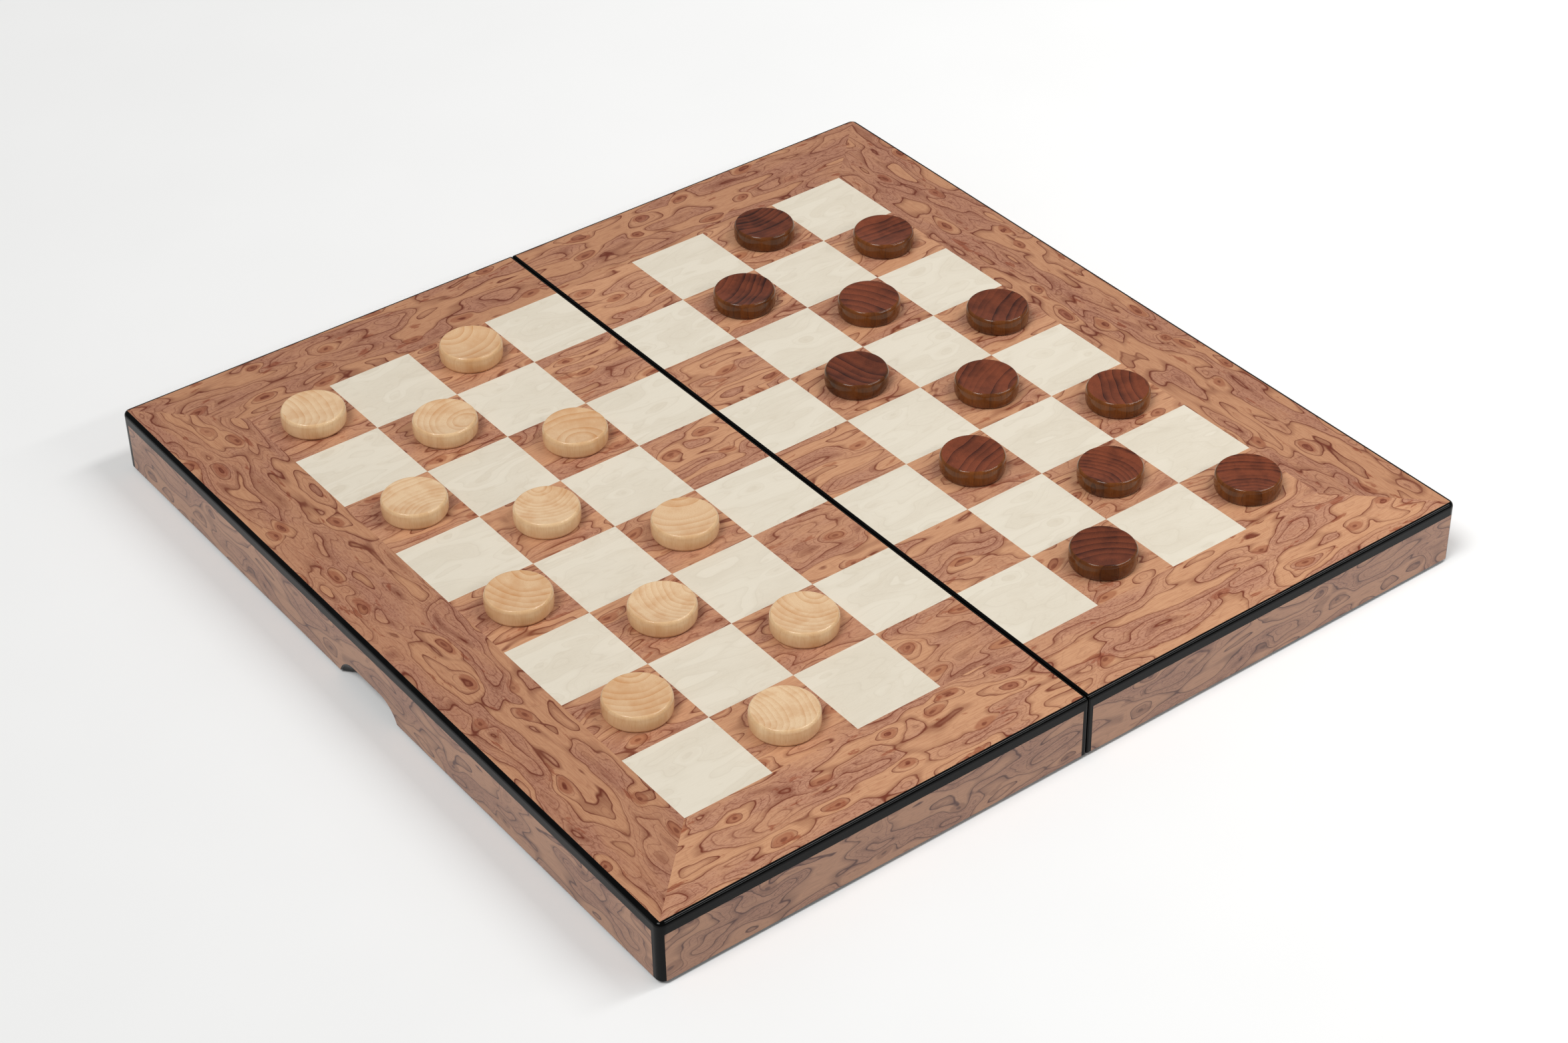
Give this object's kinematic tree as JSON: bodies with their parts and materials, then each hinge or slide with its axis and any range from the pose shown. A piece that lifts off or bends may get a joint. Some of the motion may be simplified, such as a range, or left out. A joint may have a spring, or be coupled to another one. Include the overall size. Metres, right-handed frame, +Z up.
{
  "type": "folding draughts set",
  "caption": "Folding veneered board case, hinged along its middle, with turned wooden discs set out on its squares for a game of draughts.",
  "frame": {"origin": "below the middle of the seam, level with the lowest point of the hinge knuckles", "axes": "+Z up, X across the seam with the light pieces on the -X half, Y along the seam"},
  "size_m": [0.41, 0.41, 0.0384],
  "materials": {
    "case_wood": "satin",
    "plywood": "satin",
    "felt": "felt",
    "black_lacquer": "gloss lacquer",
    "side_veneer": "gloss lacquer",
    "burr_veneer": "gloss lacquer",
    "light_veneer": "gloss lacquer",
    "hinge_brass": "polished",
    "pin_steel": "drawn",
    "magnet_nickel": "nickel plated",
    "light_disc_wood": "gloss lacquer",
    "dark_disc_wood": "gloss lacquer"
  },
  "bodies": {
    "left_half": {"front_wall_left": "case_wood", "back_wall_left": "case_wood", "outer_wall_left": "case_wood", "seam_wall_left": "case_wood", "top_panel_left": "plywood", "felt_lining_left": "felt", "edge_lipping_left": "black_lacquer", "side_veneers_left": "side_veneer", "border_veneers_left": "burr_veneer", "light_squares_left": "light_veneer", "dark_squares_left": "burr_veneer", "hinge_leaves_left": "hinge_brass", "hinge_screws_left": "hinge_brass", "rim_magnets_left": "magnet_nickel", "hinge_pins": "pin_steel"},
    "right_half": {"front_wall_right": "case_wood", "back_wall_right": "case_wood", "outer_wall_right": "case_wood", "seam_wall_right": "case_wood", "top_panel_right": "plywood", "felt_lining_right": "felt", "edge_lipping_right": "black_lacquer", "side_veneers_right": "side_veneer", "border_veneers_right": "burr_veneer", "light_squares_right": "light_veneer", "dark_squares_right": "burr_veneer", "hinge_leaves_right": "hinge_brass", "hinge_screws_right": "hinge_brass", "rim_magnets_right": "magnet_nickel"},
    "light_disc_01": {"light_disc_01": "light_disc_wood"},
    "light_disc_02": {"light_disc_02": "light_disc_wood"},
    "light_disc_03": {"light_disc_03": "light_disc_wood"},
    "light_disc_04": {"light_disc_04": "light_disc_wood"},
    "light_disc_05": {"light_disc_05": "light_disc_wood"},
    "light_disc_06": {"light_disc_06": "light_disc_wood"},
    "light_disc_07": {"light_disc_07": "light_disc_wood"},
    "light_disc_08": {"light_disc_08": "light_disc_wood"},
    "light_disc_09": {"light_disc_09": "light_disc_wood"},
    "light_disc_10": {"light_disc_10": "light_disc_wood"},
    "light_disc_11": {"light_disc_11": "light_disc_wood"},
    "light_disc_12": {"light_disc_12": "light_disc_wood"},
    "dark_disc_01": {"dark_disc_01": "dark_disc_wood"},
    "dark_disc_02": {"dark_disc_02": "dark_disc_wood"},
    "dark_disc_03": {"dark_disc_03": "dark_disc_wood"},
    "dark_disc_04": {"dark_disc_04": "dark_disc_wood"},
    "dark_disc_05": {"dark_disc_05": "dark_disc_wood"},
    "dark_disc_06": {"dark_disc_06": "dark_disc_wood"},
    "dark_disc_07": {"dark_disc_07": "dark_disc_wood"},
    "dark_disc_08": {"dark_disc_08": "dark_disc_wood"},
    "dark_disc_09": {"dark_disc_09": "dark_disc_wood"},
    "dark_disc_10": {"dark_disc_10": "dark_disc_wood"},
    "dark_disc_11": {"dark_disc_11": "dark_disc_wood"},
    "dark_disc_12": {"dark_disc_12": "dark_disc_wood"}
  },
  "joints": [
    {"name": "case_fold", "type": "hinge", "parent": "left_half", "child": "right_half", "pos_m": [0, 0, 0.00175], "axis": [0, 1, 0], "range_deg": [0, 180]},
    {"name": "light_disc_01_lift", "type": "slide", "parent": "left_half", "child": "light_disc_01", "axis": [0, 0, 1], "range_m": [0, 0.06]},
    {"name": "light_disc_02_lift", "type": "slide", "parent": "left_half", "child": "light_disc_02", "axis": [0, 0, 1], "range_m": [0, 0.06]},
    {"name": "light_disc_03_lift", "type": "slide", "parent": "left_half", "child": "light_disc_03", "axis": [0, 0, 1], "range_m": [0, 0.06]},
    {"name": "light_disc_04_lift", "type": "slide", "parent": "left_half", "child": "light_disc_04", "axis": [0, 0, 1], "range_m": [0, 0.06]},
    {"name": "light_disc_05_lift", "type": "slide", "parent": "left_half", "child": "light_disc_05", "axis": [0, 0, 1], "range_m": [0, 0.06]},
    {"name": "light_disc_06_lift", "type": "slide", "parent": "left_half", "child": "light_disc_06", "axis": [0, 0, 1], "range_m": [0, 0.06]},
    {"name": "light_disc_07_lift", "type": "slide", "parent": "left_half", "child": "light_disc_07", "axis": [0, 0, 1], "range_m": [0, 0.06]},
    {"name": "light_disc_08_lift", "type": "slide", "parent": "left_half", "child": "light_disc_08", "axis": [0, 0, 1], "range_m": [0, 0.06]},
    {"name": "light_disc_09_lift", "type": "slide", "parent": "left_half", "child": "light_disc_09", "axis": [0, 0, 1], "range_m": [0, 0.06]},
    {"name": "light_disc_10_lift", "type": "slide", "parent": "left_half", "child": "light_disc_10", "axis": [0, 0, 1], "range_m": [0, 0.06]},
    {"name": "light_disc_11_lift", "type": "slide", "parent": "left_half", "child": "light_disc_11", "axis": [0, 0, 1], "range_m": [0, 0.06]},
    {"name": "light_disc_12_lift", "type": "slide", "parent": "left_half", "child": "light_disc_12", "axis": [0, 0, 1], "range_m": [0, 0.06]},
    {"name": "dark_disc_01_lift", "type": "slide", "parent": "right_half", "child": "dark_disc_01", "axis": [0, 0, 1], "range_m": [0, 0.06]},
    {"name": "dark_disc_02_lift", "type": "slide", "parent": "right_half", "child": "dark_disc_02", "axis": [0, 0, 1], "range_m": [0, 0.06]},
    {"name": "dark_disc_03_lift", "type": "slide", "parent": "right_half", "child": "dark_disc_03", "axis": [0, 0, 1], "range_m": [0, 0.06]},
    {"name": "dark_disc_04_lift", "type": "slide", "parent": "right_half", "child": "dark_disc_04", "axis": [0, 0, 1], "range_m": [0, 0.06]},
    {"name": "dark_disc_05_lift", "type": "slide", "parent": "right_half", "child": "dark_disc_05", "axis": [0, 0, 1], "range_m": [0, 0.06]},
    {"name": "dark_disc_06_lift", "type": "slide", "parent": "right_half", "child": "dark_disc_06", "axis": [0, 0, 1], "range_m": [0, 0.06]},
    {"name": "dark_disc_07_lift", "type": "slide", "parent": "right_half", "child": "dark_disc_07", "axis": [0, 0, 1], "range_m": [0, 0.06]},
    {"name": "dark_disc_08_lift", "type": "slide", "parent": "right_half", "child": "dark_disc_08", "axis": [0, 0, 1], "range_m": [0, 0.06]},
    {"name": "dark_disc_09_lift", "type": "slide", "parent": "right_half", "child": "dark_disc_09", "axis": [0, 0, 1], "range_m": [0, 0.06]},
    {"name": "dark_disc_10_lift", "type": "slide", "parent": "right_half", "child": "dark_disc_10", "axis": [0, 0, 1], "range_m": [0, 0.06]},
    {"name": "dark_disc_11_lift", "type": "slide", "parent": "right_half", "child": "dark_disc_11", "axis": [0, 0, 1], "range_m": [0, 0.06]},
    {"name": "dark_disc_12_lift", "type": "slide", "parent": "right_half", "child": "dark_disc_12", "axis": [0, 0, 1], "range_m": [0, 0.06]}
  ]
}
